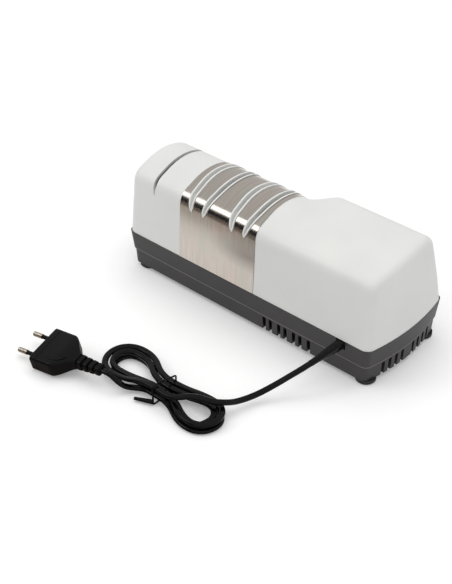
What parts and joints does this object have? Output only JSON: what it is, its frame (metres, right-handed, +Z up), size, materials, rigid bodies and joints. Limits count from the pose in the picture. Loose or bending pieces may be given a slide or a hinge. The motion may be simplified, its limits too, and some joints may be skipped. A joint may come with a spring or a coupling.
{
  "type": "electric knife sharpener",
  "caption": "Two-stage electric knife sharpener with a manual slot, steel cover, rocker switch and mains lead tied in a hank.",
  "frame": {"origin": "centre of the machine in plan, on the surface it stands on", "axes": "+X along the machine to the manual slot, +Y to the side where the lead leaves, +Z up"},
  "size_m": [0.2554, 0.2472, 0.1029],
  "materials": {
    "white_plastic": "satin",
    "brushed_steel": "brushed",
    "dark_plastic": "satin",
    "soft_rubber": "matte",
    "bright_steel": "ground",
    "bronze": "sintered",
    "core_iron": "laminated",
    "coil_wire": "enamelled",
    "magnet_iron": "matte",
    "abrasive_ceramic": "matte",
    "abrasive_disc": "rough",
    "black_cord": "gloss",
    "black_plug": "satin",
    "nickel_pins": "polished",
    "switch_black": "satin",
    "inner_plastic": "matte"
  },
  "bodies": {
    "root": {"base_frame": "dark_plastic", "base_tray": "dark_plastic", "bearing_block_end": "inner_plastic", "bearing_block_middle": "inner_plastic", "bearing_bush_end": "bronze", "bearing_bush_front": "bronze", "bearing_bush_middle": "bronze", "bearing_bush_rear": "bronze", "bearing_cup_front": "bright_steel", "bearing_cup_rear": "bright_steel", "case_screws": "bright_steel", "coil_bobbin": "inner_plastic", "cord_clamp": "inner_plastic", "cord_hank": "black_cord", "cord_stretch": "black_cord", "cord_tail": "black_cord", "field_coil": "coil_wire", "filings_magnet": "magnet_iron", "hank_tie": "black_cord", "manual_axle": "bright_steel", "manual_holder": "inner_plastic", "pin_sleeves": "black_plug", "plug_body": "black_plug", "plug_pins": "nickel_pins", "rubber_foot_1": "soft_rubber", "rubber_foot_2": "soft_rubber", "rubber_foot_3": "soft_rubber", "rubber_foot_4": "soft_rubber", "stage_1_slot_guide": "white_plastic", "stage_2_slot_guide": "white_plastic", "stator_core": "core_iron", "steel_cover": "brushed_steel", "strain_relief": "black_plug", "switch_housing": "switch_black", "terminal_block": "inner_plastic", "top_housing": "white_plastic"},
    "spindle": {"drive_shaft": "bright_steel", "drive_pins": "bright_steel", "stage_1_spring": "bright_steel", "stage_2_spring": "bright_steel", "motor_rotor": "core_iron", "cooling_fan": "inner_plastic"},
    "stage_1_left": {"stage_1_disc_left": "abrasive_disc"},
    "stage_1_right": {"stage_1_disc_right": "abrasive_disc"},
    "stage_2_left": {"stage_2_disc_left": "abrasive_disc"},
    "stage_2_right": {"stage_2_disc_right": "abrasive_disc"},
    "manual_left": {"manual_wheel_left": "abrasive_ceramic"},
    "manual_right": {"manual_wheel_right": "abrasive_ceramic"},
    "rocker": {"switch_rocker": "switch_black"}
  },
  "joints": [
    {"name": "spindle_spin", "type": "hinge", "parent": "root", "child": "spindle", "pos_m": [0, 0.008, 0.058], "axis": [1, 0, 0], "continuous": true},
    {"name": "stage_1_left_slide", "type": "slide", "parent": "spindle", "child": "stage_1_left", "axis": [-1, 0, 0], "range_m": [0, 0.0015], "stiffness_N_per_m": 1500},
    {"name": "stage_1_right_slide", "type": "slide", "parent": "spindle", "child": "stage_1_right", "axis": [1, 0, 0], "range_m": [0, 0.0015], "stiffness_N_per_m": 1500},
    {"name": "stage_2_left_slide", "type": "slide", "parent": "spindle", "child": "stage_2_left", "axis": [-1, 0, 0], "range_m": [0, 0.0015], "stiffness_N_per_m": 1500},
    {"name": "stage_2_right_slide", "type": "slide", "parent": "spindle", "child": "stage_2_right", "axis": [1, 0, 0], "range_m": [0, 0.0015], "stiffness_N_per_m": 1500},
    {"name": "manual_left_spin", "type": "hinge", "parent": "root", "child": "manual_left", "pos_m": [0.0975, 0.008, 0.072], "axis": [1, 0, 0], "continuous": true},
    {"name": "manual_right_spin", "type": "hinge", "parent": "root", "child": "manual_right", "pos_m": [0.0975, 0.008, 0.072], "axis": [1, 0, 0], "continuous": true},
    {"name": "rocker_tilt", "type": "hinge", "parent": "root", "child": "rocker", "pos_m": [-0.077, -0.03584, 0.06215], "axis": [0, 0.2827, 0.9592], "range_deg": [0, 14]}
  ]
}
